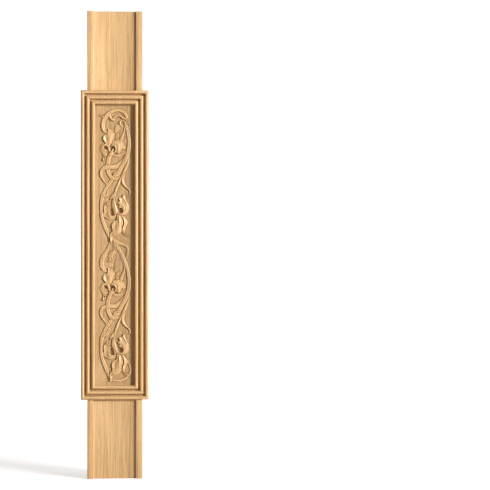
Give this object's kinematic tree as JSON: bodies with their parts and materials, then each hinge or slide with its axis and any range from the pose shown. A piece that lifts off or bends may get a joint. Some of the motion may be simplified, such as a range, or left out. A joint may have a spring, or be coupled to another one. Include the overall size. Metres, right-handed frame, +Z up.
{
  "type": "flat carved baluster",
  "caption": "Flat wooden baluster with a reeded frame round a sunk panel of climbing irises and a channelled board at each end.",
  "frame": {"origin": "middle of the foot's end face, on the stair's shoe or string", "axes": "+Z up along the baluster, -Y out of the carved front face, +X to the right when the carved front is looked at"},
  "size_m": [0.13, 0.047, 0.9],
  "materials": {
    "oak": "sanded bare light oak, fine vertical grain"
  },
  "bodies": {
    "root": {"baluster": "oak"}
  },
  "joints": []
}
